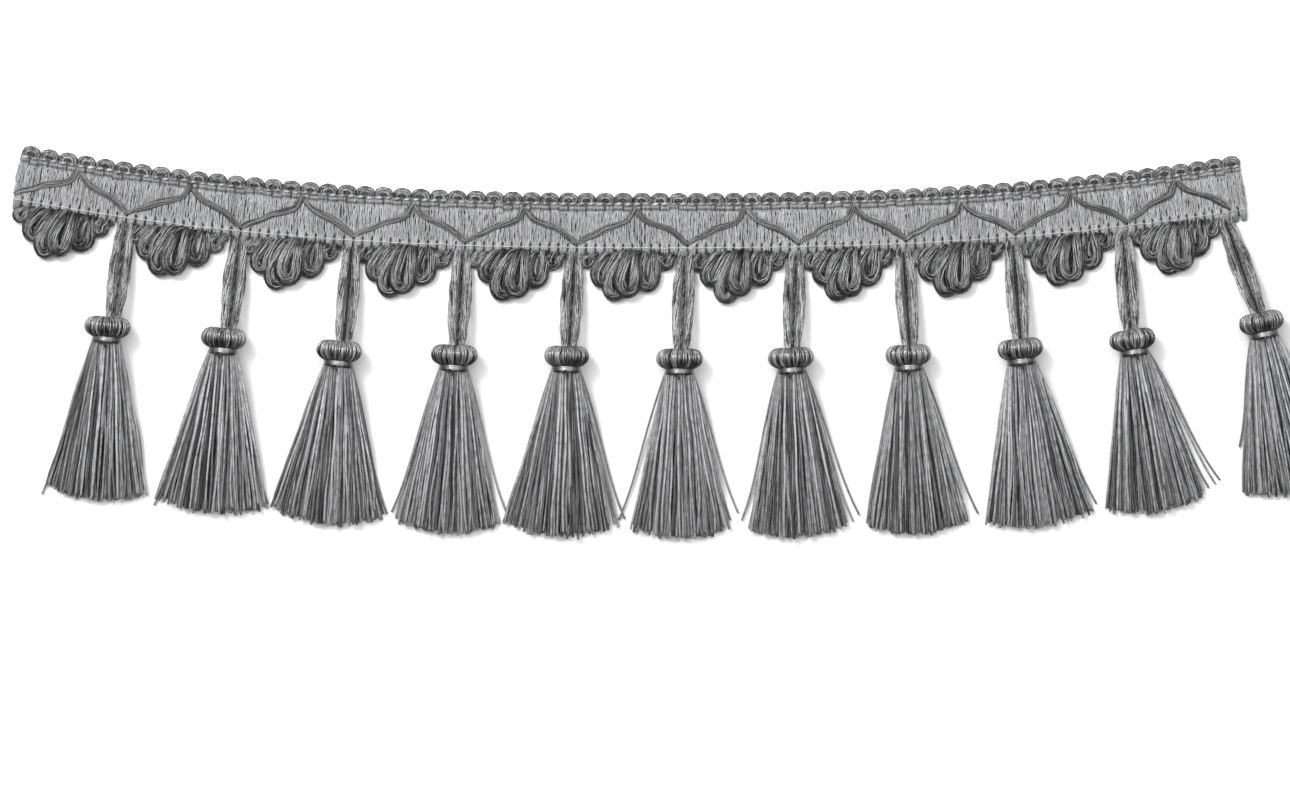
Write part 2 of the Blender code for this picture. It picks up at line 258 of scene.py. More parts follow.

# The dark yarns behind each loop, whose dark is painted shade in the loop's middle: the thickness of
# their hank, the greatest width of their own loop, their number and their tones.
BEHIND_HANK = 1.6
BEHIND_WIDTH = 3.2
BEHIND_YARNS = 4
BEHIND_SHADE_TONES = (0.05, 0.35)

# The short dark hank that crosses under the lower row between the middle loops, as shares of the repeat,
# places across the heading and heights.
CROSSING_LINE = (
    (0.475, -10.2, 1.2),
    (0.49, -9.0, 2.3),
    (0.525, -8.3, 2.3),
    (0.565, -7.9, 1.7),
    (0.585, -7.2, 0.5),
)
CROSSING_HANK = 1.5
CROSSING_TONES = (0.0, 0.25)

# Table, lights and camera, in metres and watts. Only the sensor's width is in millimetres.
TABLE_HALF = 1.6
WORLD_STRENGTH = 0.38
LIT_PLACE = (0.0, -0.03, 0.0)
LIGHT_COLUMNS = ("name", "place", "size", "power")
LIGHT_ROWS = (
    ("softbox", (-0.4, 0.5, 2.7), 2.2, 62.0),
    ("key", (-1.2, 1.3, 2.4), 1.1, 86.0),
    ("fill", (1.6, 0.8, 2.3), 0.8, 34.0),
)
CAMERA_PLACE = (-0.0039, -0.0463, 2.4)
SENSOR_WIDTH = 36.0
VIEW_WIDTH = 0.3354


def table(columns, rows):
    return [dict(zip(columns, row)) for row in rows]


TASSELS = table(TASSEL_COLUMNS, TASSEL_ROWS)
STRAYS = table(STRAY_COLUMNS, STRAY_ROWS)
WEFT = table(WEFT_COLUMNS, WEFT_ROWS)
ARCHES = table(ARCH_COLUMNS, ARCH_ROWS)
LOOPS = table(LOOP_COLUMNS, LOOP_ROWS)
LIGHTS = table(LIGHT_COLUMNS, LIGHT_ROWS)
STATIONS = [FIRST_STATION] + [row["station"] for row in TASSELS]
REPEATS = list(zip(STATIONS, STATIONS[1:]))
TAIL = (STATIONS[-1] - STATIONS[-2]) / PICOTS_PER_REPEAT


def on_heading(x, across, height):
    """Points of the heading, in metres, from millimetres along it, across it and above the table."""
    x, across, height = (np.asarray(value, float) * MM for value in (x, across, height))
    share = np.abs(x) / SAG_REACH
    rise = SAG * share**SAG_POWER
    angle = np.arctan(np.sign(x) * SAG_POWER * SAG / SAG_REACH * share ** (SAG_POWER - 1))
    placed = np.broadcast_arrays(x - across * np.sin(angle), rise + across * np.cos(angle), height)
    return np.stack(placed, axis=-1)


class TasselFrame:
    """Where one tassel lies, in millimetres down its axis, to its side and above the table."""

    def __init__(self, row):
        lean = math.radians(row["lean"])
        self.down = np.array((math.sin(lean), -math.cos(lean)))
        self.side = np.array((math.cos(lean), math.sin(lean)))
        self.top = np.array((row["head_x"], row["head_y"])) - self.down * HEAD_CENTRE

    def at(self, down, side, height):
        down, side, height = np.broadcast_arrays(*(np.asarray(v, float) for v in (down, side, height)))
        flat = self.top + down[..., None] * self.down + side[..., None] * self.side
        return np.concatenate((flat, height[..., None]), axis=-1) * MM

    def find(self, x, y):
        """How far down and to the side a point of the table lies."""
        away = np.array((x, y)) - self.top
        return float(away @ self.down), float(away @ self.side)


def smooth_path(stops, count):
    """A smooth path of so many points through a few stops."""
    stops = np.asarray(stops, float)
    ends = np.vstack((2 * stops[0] - stops[1], stops, 2 * stops[-1] - stops[-2]))
    position = np.linspace(0, len(stops) - 1, count)
    index = np.minimum(position.astype(int), len(stops) - 2)
    t = (position - index)[:, None]
    a, b, c, d = (ends[index + step] for step in range(4))
    square = (2 * a - 5 * b + 4 * c - d) * t**2
    cube = (3 * b - a - 3 * c + d) * t**3
    return 0.5 * (2 * b + (c - a) * t + square + cube)


def path_frame(path):
    """Level and upright directions square to a path that runs mostly along the table."""
    ahead = np.gradient(path, axis=0)
    ahead /= np.linalg.norm(ahead, axis=1)[:, None]
    level = np.stack((-ahead[:, 1], ahead[:, 0], np.zeros(len(path))), axis=1)
    level /= np.maximum(np.linalg.norm(level, axis=1)[:, None], 1e-9)
    return level, np.cross(ahead, level)


def path_length(path):
    """How far along the path each of its points lies."""
    steps = np.linalg.norm(np.diff(path, axis=0), axis=1)
    return np.concatenate(((0.0,), np.cumsum(steps)))


def store_facts(mesh, facts):
    """Writes some facts of each point into a mesh."""
    for name, values in facts.items():
        layer = mesh.attributes.new(name, "FLOAT", "POINT")
        layer.data.foreach_set("value", values.astype(np.float32))


class Yarns:
    """Paths of yarn that are made into one mesh."""

    def __init__(self):
        self.paths = []
        self.facts = {"thick": [], "tone": [], "along": [], "share": [], "seed": []}

    def lay(self, path, thick, tone):
        """Adds a yarn. Its radius, in millimetres, and its tone are one value or one for each point."""
        along = path_length(path)
        self.facts["thick"].append(np.broadcast_to(np.asarray(thick, float) * MM, len(path)))
        self.facts["tone"].append(np.clip(np.broadcast_to(tone, len(path)), 0.0, 1.0))
        self.facts["along"].append(along)
        self.facts["share"].append(along / along[-1])
        self.facts["seed"].append(np.full(len(path), len(self.paths) * 0.618 % 1.0))
        self.paths.append(path)

    def guide(self):
        """The paths as loose edges, with the facts of each point."""
        mesh = bpy.data.meshes.new("paths")
        points = np.vstack(self.paths)
        starts = np.cumsum([0] + [len(path) for path in self.paths])
        edges = [(i, i + 1) for low, high in zip(starts, starts[1:]) for i in range(low, high - 1)]
        mesh.from_pydata(points.tolist(), edges, [])
        store_facts(mesh, {name: np.concatenate(values) for name, values in self.facts.items()})
        return mesh


def rounding_nodes(sides):
    """Nodes that make each path a round closed strand with so many sides."""
    name = f"strand of {sides} sides"
    if name in bpy.data.node_groups:
        return bpy.data.node_groups[name]
    group = bpy.data.node_groups.new(name, "GeometryNodeTree")
    group.interface.new_socket("Geometry", in_out="INPUT", socket_type="NodeSocketGeometry")
    group.interface.new_socket("Geometry", in_out="OUTPUT", socket_type="NodeSocketGeometry")
    nodes = group.nodes
    link = group.links.new
    paths = nodes.new("NodeGroupInput")
    curves = nodes.new("GeometryNodeMeshToCurve")
    link(paths.outputs[0], curves.inputs["Mesh"])
    thick = nodes.new("GeometryNodeInputNamedAttribute")
    thick.data_type = "FLOAT"
    thick.inputs["Name"].default_value = "thick"
    section = nodes.new("GeometryNodeCurvePrimitiveCircle")
    section.inputs["Resolution"].default_value = sides
    section.inputs["Radius"].default_value = 1.0
    place = nodes.new("GeometryNodeInputPosition")
    around = nodes.new("GeometryNodeStoreNamedAttribute")
    around.data_type = "FLOAT_VECTOR"
    around.inputs["Name"].default_value = "round"
    link(section.outputs["Curve"], around.inputs["Geometry"])
    link(place.outputs["Position"], around.inputs["Value"])
    tube = nodes.new("GeometryNodeCurveToMesh")
    tube.inputs["Fill Caps"].default_value = True
    link(curves.outputs["Curve"], tube.inputs["Curve"])
    link(around.outputs["Geometry"], tube.inputs["Profile Curve"])
    link(thick.outputs["Attribute"], tube.inputs["Scale"])
    smooth = nodes.new("GeometryNodeSetShadeSmooth")
    link(tube.outputs["Mesh"], smooth.inputs["Geometry"])
    end = nodes.new("NodeGroupOutput")
    link(smooth.outputs["Geometry"], end.inputs[0])
    return group


def make_yarn_mesh(yarns, sides):
    """One mesh of all the yarns, as round strands."""
    guide = bpy.data.objects.new("paths", yarns.guide())
    bpy.context.scene.collection.objects.link(guide)
    rounding = guide.modifiers.new("Rounding", "NODES")
    rounding.node_group = rounding_nodes(sides)
    graph = bpy.context.evaluated_depsgraph_get()
    mesh = bpy.data.meshes.new_from_object(guide.evaluated_get(graph), depsgraph=graph)
    paths = guide.data
    bpy.data.objects.remove(guide)
    bpy.data.meshes.remove(paths)
    return mesh


def mesh_from(bm, name, smooth=False):
    """Turns a bmesh into a mesh."""
    for face in bm.faces:
        face.smooth = smooth
    mesh = bpy.data.meshes.new(name)
    bm.to_mesh(mesh)
    bm.free()
    return mesh


def add_piece(name, mesh, finish, nodes):
    """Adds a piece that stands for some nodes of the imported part."""
    mesh.name = name
    mesh.materials.clear()
    mesh.materials.append(finish)
    piece = bpy.data.objects.new(name, mesh)
    bpy.context.scene.collection.objects.link(piece)
    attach(piece, "root")
    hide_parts(*nodes)
    return piece


def add_yarns(name, yarns, sides, finish, nodes):
    return add_piece(name, make_yarn_mesh(yarns, sides), finish, nodes)


# Finishes


class NodeKit:
    """Short names for the nodes of a material."""

    def __init__(self, name):
        self.material = bpy.data.materials.new(name)
        self.material.use_nodes = True
        self.tree = self.material.node_tree
        self.shader = self.tree.nodes["Principled BSDF"]

    def put(self, socket, value):
        if isinstance(value, bpy.types.NodeSocket):
            self.tree.links.new(value, socket)
        else:
            socket.default_value = value

    def set(self, name, value):
        self.put(self.shader.inputs[name], value)

    def fact(self, name, output="Fac"):
        node = self.tree.nodes.new("ShaderNodeAttribute")
        node.attribute_name = name
        return node.outputs[output]

    def maths(self, operation, first, second=0.0, clamp=False):
        node = self.tree.nodes.new("ShaderNodeMath")
        node.operation = operation
        node.use_clamp = clamp
        self.put(node.inputs[0], first)
        self.put(node.inputs[1], second)
        return node.outputs[0]

    def spread(self, value, low, high, new_low, new_high):
        node = self.tree.nodes.new("ShaderNodeMapRange")
        for socket, number in zip(node.inputs, (value, low, high, new_low, new_high)):
            self.put(socket, number)
        return node.outputs[0]

    def vector(self, x, y, z):
        node = self.tree.nodes.new("ShaderNodeCombineXYZ")
        for socket, number in zip(node.inputs, (x, y, z)):
            self.put(socket, number)
        return node.outputs[0]

    def split(self, vector):
        node = self.tree.nodes.new("ShaderNodeSeparateXYZ")
        self.put(node.inputs[0], vector)
        return node.outputs[0], node.outputs[1]

    def noise(self, vector, scale, detail=2.0):
        node = self.tree.nodes.new("ShaderNodeTexNoise")
        self.put(node.inputs["Vector"], vector)
        node.inputs["Scale"].default_value = scale
        node.inputs["Detail"].default_value = detail
        return node.outputs[0]

    def mix(self, share, first, second):
        node = self.tree.nodes.new("ShaderNodeMix")
        node.data_type = "RGBA"
        self.put(node.inputs["Factor"], share)
        self.put(node.inputs[6], first)
        self.put(node.inputs[7], second)
        return node.outputs[2]

    def bump(self, height, depth, strength):
        node = self.tree.nodes.new("ShaderNodeBump")
        self.put(node.inputs["Height"], height)
        node.inputs["Distance"].default_value = depth
        node.inputs["Strength"].default_value = strength
        self.set("Normal", node.outputs[0])


def yarn_finish(
    name, dark, light, roughness, blotch=0.4, flecks=330.0, far_end_shade=0.85, specular=0.7, dull=1.0, relief=0.5
):
    """Silky yarn of fine fibres.

    The blotch says how far the yarn's tone swings along it, where it is crimped, and the flecks how many
    such swings a metre has. A painted shade darkens the yarn towards its far end, and its argument says
    how dark the yarn is there; dull says how much of the sheen its darkest yarns keep.
    """
    kit = NodeKit(name)
    tone = kit.fact("tone")
    seed = kit.fact("seed")
    along = kit.fact("along")
    share = kit.fact("share")
    x, y = kit.split(kit.fact("round", "Vector"))
    phase = kit.maths("MULTIPLY", along, TURN / (PLY_PITCH * MM))
    phase = kit.maths("ADD", phase, kit.maths("MULTIPLY", seed, 40.0))
    cosine = kit.maths("COSINE", phase)
    sine = kit.maths("SINE", phase)
    ahead = kit.maths("ADD", kit.maths("MULTIPLY", x, cosine), kit.maths("MULTIPLY", y, sine))
    beside = kit.maths("SUBTRACT", kit.maths("MULTIPLY", x, sine), kit.maths("MULTIPLY", y, cosine))
    ply = kit.maths("POWER", kit.maths("ABSOLUTE", ahead), 0.6)

    # The seed sets each yarn apart from the next in both noises.
    lengthwise = kit.maths("MULTIPLY", along, FIBRE_RATE)
    lengthwise = kit.maths("ADD", lengthwise, kit.maths("MULTIPLY", seed, 90.0))
    fibres = kit.noise(kit.vector(ahead, beside, lengthwise), 4.0)
    crimp = kit.vector(kit.maths("MULTIPLY", seed, 70.0), 0.0, kit.maths("MULTIPLY", along, flecks))
    slow = kit.noise(crimp, 1.0, 1.0)
    swing = kit.spread(fibres, 0.3, 0.7, 0.65, 1.35)
    swing = kit.maths("ADD", swing, kit.spread(slow, 0.3, 0.7, -blotch, blotch))
    level = kit.maths("MULTIPLY", tone, swing, clamp=True)
    base = kit.mix(level, (*dark, 1.0), (*light, 1.0))

    # Painted shade between the plies and towards the far end, and darker at the cut tip.
    shade = kit.spread(ply, 0.0, 1.0, 1.0 - PLY_GROOVE, 1.0)
    shade = kit.maths("MULTIPLY", shade, kit.spread(share, 0.4, 1.0, 1.0, far_end_shade))
    shade = kit.maths("MULTIPLY", shade, kit.spread(share, 0.985, 1.0, 1.0, 0.6))
    colour = kit.tree.nodes.new("ShaderNodeVectorMath")
    colour.operation = "SCALE"
    kit.put(colour.inputs[0], base)
    kit.put(colour.inputs["Scale"], shade)
    kit.set("Base Color", colour.outputs[0])
    kit.set("Roughness", kit.spread(fibres, 0.3, 0.7, roughness - 0.06, roughness + 0.08))
    if dull < 1.0:
        specular = kit.spread(level, 0.0, 0.4, specular * dull, specular)
    kit.set("Specular IOR Level", specular)
    height = kit.maths("ADD", kit.maths("MULTIPLY", ply, PLY_GROOVE), fibres)
    kit.bump(height, RELIEF_DEPTH * MM, relief)
    return kit.material


def backing_and_shade_finish(name, dark, light):
    """Closely woven backing, dark as painted shade where it shows between yarns."""
    kit = NodeKit(name)
    place = kit.tree.nodes.new("ShaderNodeTexCoord").outputs["Object"]
    x, y = kit.split(place)
    rate = TURN / (WEAVE_PITCH * MM)
    warp = kit.maths("SINE", kit.maths("MULTIPLY", y, rate))
    weft = kit.maths("SINE", kit.maths("MULTIPLY", x, rate))
    weave = kit.spread(kit.maths("MULTIPLY", warp, weft), -1.0, 1.0, 0.0, 1.0)
    mottle = kit.noise(place, 900.0)
    weave = kit.maths("MULTIPLY", weave, 0.6)
    level = kit.maths("ADD", weave, kit.maths("MULTIPLY", mottle, 0.4), clamp=True)
    kit.set("Base Color", kit.mix(level, (*dark, 1.0), (*light, 1.0)))
    kit.set("Roughness", kit.spread(mottle, 0.3, 0.7, 0.6, 0.8))
    kit.bump(level, RELIEF_DEPTH * MM, 0.7)
    return kit.material


def table_finish():
    """Smooth pale table top with the faintest mottle."""
    kit = NodeKit("pale table top")
    place = kit.tree.nodes.new("ShaderNodeTexCoord").outputs["Object"]
    mottle = kit.noise(place, 6.0)
    kit.set("Base Color", kit.mix(mottle, (0.61, 0.61, 0.61, 1.0), (0.63, 0.63, 0.63, 1.0)))
    kit.set("Roughness", 0.9)
    kit.set("Specular IOR Level", 0.1)
    return kit.material


def grey(value):
    """A neutral grey with a very faint blue."""
    return (value * 0.99, value * 0.995, value * 1.015)


# Heading


def bar_places():
    """The middle of every weft bar and the bar pitch there, along the whole heading."""
    places = []
    for start, end in REPEATS:
        pitch = (end - start) / BARS_PER_REPEAT
        places += [(start + (bar + 0.5) * pitch, pitch) for bar in range(BARS_PER_REPEAT)]
    pitch = TAIL / 2
    places += [(STATIONS[-1] + (bar + 0.5) * pitch, pitch) for bar in range(2)]
    return places


def make_backing(finish):
    """The thin woven backing that carries the weft, one strip along the whole heading. Its dark is
    painted shade where it shows between the bars.
    """
    start, end = STATIONS[0] + 0.5, STATIONS[-1] + TAIL - 0.5
    low, high = BACKING_LOW, BACKING_HIGH
    bm = bmesh.new()
    bmesh.ops.create_grid(bm, x_segments=240, y_segments=4, size=0.5)
    for vert in bm.verts:
        x = start + (end - start) * (vert.co.x + 0.5)
        across = low + (high - low) * (vert.co.y + 0.5)
        vert.co = on_heading(x, across, 0.0)
    bmesh.ops.solidify(bm, geom=bm.faces[:], thickness=-BACKING_THICKNESS * MM)
    bmesh.ops.recalc_face_normals(bm, faces=bm.faces)
    lowest = min(vert.co.z for vert in bm.verts)
    bmesh.ops.translate(bm, verts=bm.verts, vec=(0.0, 0.0, BACKING_LIFT * MM - lowest))
    mesh = mesh_from(bm, "heading_backing")
    piece = add_piece("heading_backing", mesh, finish, ["heading"])


def make_field(finish):
    """The weft threads that lie side by side as a satin field, gathered into bars at both edges."""
    rng = random.Random(11)
    yarns = Yarns()
    columns = [np.array([row[name] for row in WEFT]) for name in WEFT_COLUMNS]
    across, width, lean, height, crown = columns
    # Threads wander only where the bars open out into the field.
    loose = np.clip((width - 0.88) * 8, 0.0, 1.0)
    # How dark the rows are where they are bound, and the painted shade where the field parts under a
    # peak.
    bound = np.interp(across, (-8.5, -7.0, -6.4, 3.0, 3.6), (0.75, 0.92, 1.0, 1.0, 0.66))
    parting_shade = np.interp(across, (-1.5, -0.5, 3.0), (1.0, 0.5, 0.4))
    drift = 0.0
    for number, (x, pitch) in enumerate(bar_places()):
        drift = 0.7 * drift + rng.gauss(0.0, 0.12)
        bar_tone = rng.gauss(0.0, 0.04)
        # The bound rows near the picots lie a little higher in one bar than in the next.
        shift = np.where(across > FIELD_TOP, rng.gauss(0.0, 0.13), 0.0)
        firm = np.where(across > FIELD_TOP, rng.uniform(0.75, 1.1), 1.0)
        away = pitch * lean * (1 if number % 2 else -1)
        for thread in range(THREADS_PER_BAR):
            place = (thread - (THREADS_PER_BAR - 1) / 2) / THREADS_PER_BAR
            wander = np.array([drift + rng.gauss(0.0, 0.12) for _ in across]) * loose
            lift = height + crown * (1 - (2 * place) ** 2) + rng.gauss(0.0, 0.06)
            stops = on_heading(x + away + place * pitch * width + wander, across + shift, lift * firm)
            tone = 0.52 + bar_tone + rng.gauss(0.0, 0.12)
            # Painted shade on the first thread of the bar under each peak of the laid cord stands for a
            # parting of the field.
            at_peak = number % BARS_PER_REPEAT == 6 and thread == 0
            yarns.lay(stops, rng.uniform(*WEFT_RADII), tone * bound * (parting_shade if at_peak else 1.0))
    add_yarns("heading_weft", yarns, 4, finish, ["heading"])


def make_beads(finish):
    """The warp threads that bind the bars: plump beads under the picots and a fine line below."""
    yarns = Yarns()
    rng = random.Random(5)
    places = bar_places()
    swell = BEAD_RADIUS * np.sin(np.linspace(0.1, 0.9, 9) * math.pi) ** 0.8
    for x, pitch in places:
        side = rng.gauss(0.0, 0.06)
        half = pitch * 0.31
        stops = [
            (-half, -0.15, 0.8),
            (-half * 0.7, -0.1, 1.4),
            (0.0, side, 1.6),
            (half * 0.7, 0.1, 1.4),
            (half, 0.15, 0.8),
        ]
        along, across, height = np.array(stops).T
        row = BEAD_ROW + across + rng.gauss(0.0, 0.07)
        path = smooth_path(on_heading(x + along, row, height), len(swell))
        yarns.lay(path, swell * rng.uniform(0.75, 1.1), rng.uniform(0.15, 0.75))
    stops = []
    for x, pitch in places:
        wander = rng.gauss(0.0, 0.07)
        top = 1.8 + rng.gauss(0.0, 0.07)
        stops.append((x - pitch / 2, LOWER_ROW + wander / 2, 1.1))
        stops.append((x - pitch / 5, LOWER_ROW + wander, top))
        stops.append((x + pitch / 5, LOWER_ROW + wander, top))
    x, across, height = np.array(stops).T
    yarns.lay(smooth_path(on_heading(x, across, height), 3 * len(stops)), 0.15, 1.0)
    add_yarns("heading_warp", yarns, 5, finish, ["heading"])


def arch_path(arch, middle, rng):
    """One arch of a picot, from its left foot over its top to its right foot."""
    turn = np.linspace(math.pi, 0.0, 11)
    along = arch["half"] * np.sign(np.cos(turn)) * np.abs(np.cos(turn)) ** 0.85
    across = PICOT_SHOULDER + (arch["top"] - PICOT_SHOULDER) * np.sin(turn) ** 0.8
    height = arch["height"] + 0.15 * np.sin(turn)
    along = np.concatenate(((-arch["foot"],), along, (arch["foot"],)))
    across = np.concatenate(((PICOT_FOOT,), across, (PICOT_FOOT,)))
    foot_height = (arch["height"] - 0.35,)
    height = np.concatenate((foot_height, height, foot_height))
    nudge = rng.gauss(0.0, 0.05)
    return smooth_path(on_heading(middle + along + nudge, across, height + rng.gauss(0.0, 0.05)), 16)


def make_picots(finish):
    """The round arches of the top edge, each a few soft bundles from one bar to the next."""
    rng = random.Random(23)
    yarns = Yarns()
    places = bar_places()
    for (left, _), (right, _) in zip(places[::2], places[1::2]):
        for arch in ARCHES:
            # The bundle is laid from right to left, so that its dark rim lies outwards.
            line = arch_path(arch, (left + right) / 2, rng)[::-1]
            lay_hank(yarns, line, arch["hank"], arch["yarns"], (arch["dark"], arch["light"]), rng)
    add_yarns("heading_picots", yarns, 4, finish, ["heading"])


def make_laid_cord(finish):
    """The zigzag cord, a flat band of filaments. It falls to a valley at each hanger."""
    yarns = Yarns()
    rng = random.Random(31)
    height = FIELD_HEIGHT + 0.42
    for start, end in REPEATS:
        half = (end - start) / 2
        # From the valley up to the bead row, and down again to the next valley.
        rise = [(start + 0.2, VALLEY, height - 0.1)]
        rise += [(start + half * share, across, height) for share, across in CORD_RISE]
        rise.append((start + half * 1.03, BEAD_ROW - 0.1, height - 0.7))
        first_share, first_across = CORD_FALL[0]
        fall = [(end - half * first_share, first_across, height - 0.95)]
        fall += [(end - half * share, across, height) for share, across in CORD_FALL[1:]]
        fall.append((end - 0.1, VALLEY - 0.2, height - 0.1))
        for stops in (rise, fall):
            x, across, lift = np.array(stops).T
            line = smooth_path(on_heading(x, across, lift), 26)
            level, up = path_frame(line)
            share = np.linspace(0.0, 1.0, len(line))
            open_out = 0.5 + 0.5 * np.sin(math.pi * share) ** 0.5
            for filament in range(CORD_FILAMENTS):
                # From -1 at the lower edge to 1 at the upper one.
                place = (filament - (CORD_FILAMENTS - 1) / 2) / (CORD_FILAMENTS - 1) * 2
                wander = 0.16 * np.sin(TURN * (share * rng.uniform(0.8, 2.2) + rng.random()))
                aside = (CORD_HALF_WIDTH * place * open_out + wander)[:, None] * MM
                above = (0.14 * (1 - place**2) + rng.gauss(0.0, 0.08)) * MM
                # Painted shade: the filaments are darker towards both edges of the band, most of all at
                # its lower edge.
                tone = 0.7 + 0.4 * min(place, 0.0) - 0.2 * abs(place) + rng.gauss(0.0, 0.28)
                yarns.lay(line + level * aside + up * above, FILAMENT_RADIUS, tone)
    add_yarns("laid_cord", yarns, 4, finish, ["wave_cord"])


# Loops


def loop_line(loop, start, end):
    """The middle of a loop's hank, from its left bar down round its tip and up to its right bar."""
    length = end - start
    pitch = length / BARS_PER_REPEAT
    left = start + (loop["left_bar"] + 0.5) * pitch
    right = start + (loop["right_bar"] + 0.5) * pitch
    tip = start + loop["tip"] * length
    half = (loop["width"] - loop["hank"]) / 2
    bottom = LOWER_ROW - loop["depth"] + loop["hank"] / 2
    turn = bottom + half * 1.05
    root = LOWER_ROW - 0.9
    shoulder = root - 1.2
    rest = loop["hank"] * 0.3 + loop["lift"]

    def leg(bar, half):
        """The points of one leg, from its bar to near the tip. On the left, the half is negative."""
        return [
            (bar, LOWER_ROW - 0.1, 0.65),
            (bar, root, 1.05),
            (bar + (tip + half - bar) * 0.35, shoulder, (1.1 + rest) / 2 + 0.2),
            (tip + half, turn + (shoulder - turn) * 0.25, rest + 0.2),
            (tip + half * 0.74, turn - abs(half) * 0.62, rest),
        ]

    stops = leg(left, -half) + [(tip, bottom, rest * 0.9)] + leg(right, half)[::-1]
    x, across, height = np.array(stops).T
    return smooth_path(on_heading(x, across, height), 26)


def lay_hank(yarns, line, hank, count, tones, rng, thick=0.25):
    """A hank of crimped yarns round a line, so many millimetres thick.

    Its first yarns are dark and keep to its rim, on the right of the line. The others wind round it.
    """
    level, up = path_frame(line)
    share = np.linspace(0.0, 1.0, len(line))
    open_out = np.sin(math.pi * share) ** 0.7
    flat = (hank / 2 - thick) * (0.45 + 0.55 * open_out)
    deep = (hank * 0.26 - thick * 0.3) * (0.7 + 0.3 * open_out)
    twist = rng.choice((-1, 1)) * rng.uniform(0.6, 1.0) * TURN
    low_tone, high_tone = tones
    # Painted highlight at both roots and low on both legs, painted shade between them and at the tip.
    swing = 0.3 * np.cos(3 * TURN * share) + 0.3 * np.abs(2 * share - 1) ** 12
    swing = (high_tone - low_tone) * swing
    rim = max(1, round(count / 5))
    for yarn in range(count):
        wave = np.sin(TURN * (share * rng.uniform(4.0, 6.5) + rng.random()))
        if yarn < rim:
            aside = -flat * (1.04 - 0.3 * yarn) + 0.05 * wave
            above = -deep * 0.2
            tone = low_tone + rng.gauss(0.0, 0.04)
        else:
            angle = TURN * (yarn + rng.uniform(-0.3, 0.3)) / (count - rim) + twist * share
            reach = rng.uniform(0.75, 1.0)
            aside = flat * (0.19 + 0.81 * np.cos(angle)) * reach + 0.12 * wave
            above = deep * np.sin(angle) * reach + 0.1 * np.roll(wave, 2)
            tone = rng.uniform(low_tone, high_tone) + swing
        above = np.broadcast_to(above, len(line))
        path = line + level * aside[:, None] * MM + up * above[:, None] * MM
        path[:, 2] = np.maximum(path[:, 2], (thick * 1.15 + 0.03) * MM)
        yarns.lay(path, thick * rng.uniform(0.9, 1.15), tone)


def lay_dark_cord(yarns, line, rng, radius=0.45, pitch=3.4, plies=3, thick=0.24):
    """A dark cord of a few plies twisted together round a line."""
    level, up = path_frame(line)
    turned = rng.uniform(0.0, TURN) + TURN * path_length(line) / (pitch * MM)
    for ply in range(plies):
        angle = turned + TURN * ply / plies
        aside = (radius - thick) * np.cos(angle)[:, None]
        above = (radius - thick) * np.sin(angle)[:, None]
        path = line + (level * aside + up * above) * MM
        yarns.lay(path, thick * rng.uniform(0.9, 1.1), rng.gauss(0.0, 0.16))


def make_loops(number, start, end, finish):
    """The loops of one repeat, and the yarns behind them that fill their middles, dark as painted shade.
    """
    rng = random.Random(100 + number)
    yarns = Yarns()
    for loop in LOOPS:
        nudged = dict(loop)
        nudged["tip"] += rng.gauss(0.0, 0.006)
        nudged["depth"] += rng.gauss(0.0, 0.25)
        nudged["width"] += rng.gauss(0.0, 0.2)
        line = loop_line(nudged, start, end)
        lay_hank(yarns, line, loop["hank"], loop["yarns"], LOOP_TONES, rng)
        behind = dict(nudged)
        behind["hank"] = BEHIND_HANK
        behind["width"] = min(nudged["width"] - 1.0, BEHIND_WIDTH)
        behind["depth"] = nudged["depth"] - loop["hank"] * 0.7
        behind["lift"] = 0.0
        line = loop_line(behind, start, end)
        lay_hank(yarns, line, BEHIND_HANK, BEHIND_YARNS, BEHIND_SHADE_TONES, rng, 0.3)

    share, across, height = np.array(CROSSING_LINE).T
    line = smooth_path(on_heading(start + share * (end - start), across, height), 12)
    lay_hank(yarns, line, CROSSING_HANK, BEHIND_YARNS, CROSSING_TONES, rng)
    node = f"loops_{number:02d}"
    add_yarns(f"{node}_yarn", yarns, 4, finish, [node])


# Tassels


def make_hanger(number, row, finish):
    """Two legs of yarn, from two bars of the heading to the middle of the head."""
    rng = random.Random(200 + number)
    frame = TasselFrame(row)
    yarns = Yarns()
    station = row["station"]
    repeat_start, repeat_end = REPEATS[number - 1]
    pitch = (repeat_end - repeat_start) / BARS_PER_REPEAT
    end = frame.at(0.9, 0.5 + row["aside"], HEAD_RADIUS) / MM
    root = on_heading(station - 0.7 + row["aside"], LOWER_ROW - 2.2, 1.1) / MM
    side = np.array((*frame.side, 0.0))

    def middle(share):
        """The point between the legs at a share of the way down."""
        place = root + (end - root) * share
        place[2] = root[2] + (end[2] - root[2]) * share**1.5 * (1.6 - 0.6 * share)
        return place

    for leg, lightest in ((-1, 1.0), (1, 0.8)):
        stops = [on_heading(station + leg * pitch / 2, LOWER_ROW - 0.2, FIELD_HEIGHT - 0.2) / MM]
        for share, gap in HANGER_GAPS:
            stops.append(middle(share) + side * leg * gap + np.array((0.0, 0.0, 0.25)))
        # Each leg is laid so that its dark rim lies next to the slit, as painted shade there.
        line = smooth_path(np.array(stops[::leg]) * MM, 40)
        lay_hank(yarns, line, rng.uniform(*LEG_WIDTHS), YARNS_PER_LEG, (0.16, lightest), rng, 0.26)

    # The dark cord that shows in the slit between the legs.
    stops = []
    for share, _ in HANGER_GAPS:
        stops.append(middle(share) + np.array((0.0, 0.0, -1.0 * math.sin(math.pi * share))))
    line = smooth_path(np.array(stops) * MM, 40)
    lay_dark_cord(yarns, line, rng)
    node = f"hanger_{number:02d}"
    add_yarns(f"{node}_yarn", yarns, 4, finish, [node])


